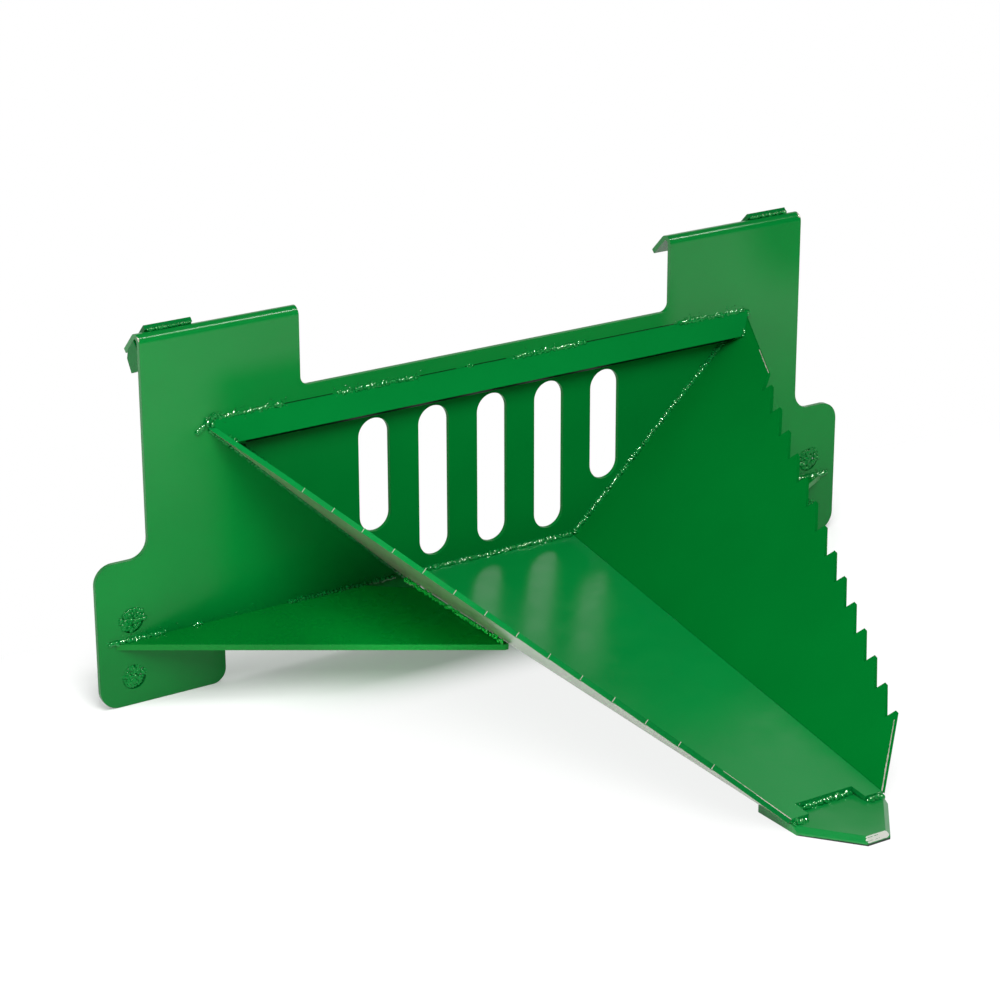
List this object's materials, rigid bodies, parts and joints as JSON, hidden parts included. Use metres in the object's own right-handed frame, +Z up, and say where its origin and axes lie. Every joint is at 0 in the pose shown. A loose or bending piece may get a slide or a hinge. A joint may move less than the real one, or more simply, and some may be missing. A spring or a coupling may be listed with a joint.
{
  "type": "stump bucket",
  "caption": "V-shaped steel stump bucket with saw-toothed sides, a flat cutting point and a slotted back plate with loader hooks and pin lugs.",
  "frame": {"origin": "middle of the width, on the ground, in the plane of the back plate's front face", "axes": "+X across the bucket to its right-hand side as seen from the cutting point looking back to the loader, +Y from the cutting point to the loader, +Z up"},
  "size_m": [1.143, 0.8717, 0.4767],
  "materials": {
    "frame_paint": "gloss green paint on hot rolled plate",
    "bucket_paint": "gloss green paint on bent plate",
    "point_paint": "gloss green paint, worn bare at the bevel",
    "weld_paint": "gloss green paint over weld beads",
    "bare_steel": "worn bare steel"
  },
  "bodies": {
    "root": {"back_plate": "frame_paint", "floor_plate": "bucket_paint", "side_left": "bucket_paint", "side_right": "bucket_paint", "point_plate": "point_paint", "cross_bar": "frame_paint", "gusset_left": "frame_paint", "gusset_right": "frame_paint", "lip_pad_left": "frame_paint", "lip_pad_right": "frame_paint", "hook_gusset_left": "frame_paint", "hook_gusset_right": "frame_paint", "pin_lug_left": "frame_paint", "pin_lug_right": "frame_paint", "plug_welds_left": "weld_paint", "plug_welds_right": "weld_paint", "shell_weld": "weld_paint", "seam_weld_left": "weld_paint", "seam_weld_right": "weld_paint", "bar_welds": "weld_paint", "vee_weld_left": "weld_paint", "vee_weld_right": "weld_paint", "gusset_weld_left": "weld_paint", "gusset_weld_right": "weld_paint", "notch_weld": "weld_paint", "prong_weld_left": "weld_paint", "prong_weld_right": "weld_paint", "pad_weld_left": "weld_paint", "pad_weld_right": "weld_paint", "lug_weld_left": "weld_paint", "lug_weld_right": "weld_paint"}
  },
  "joints": []
}
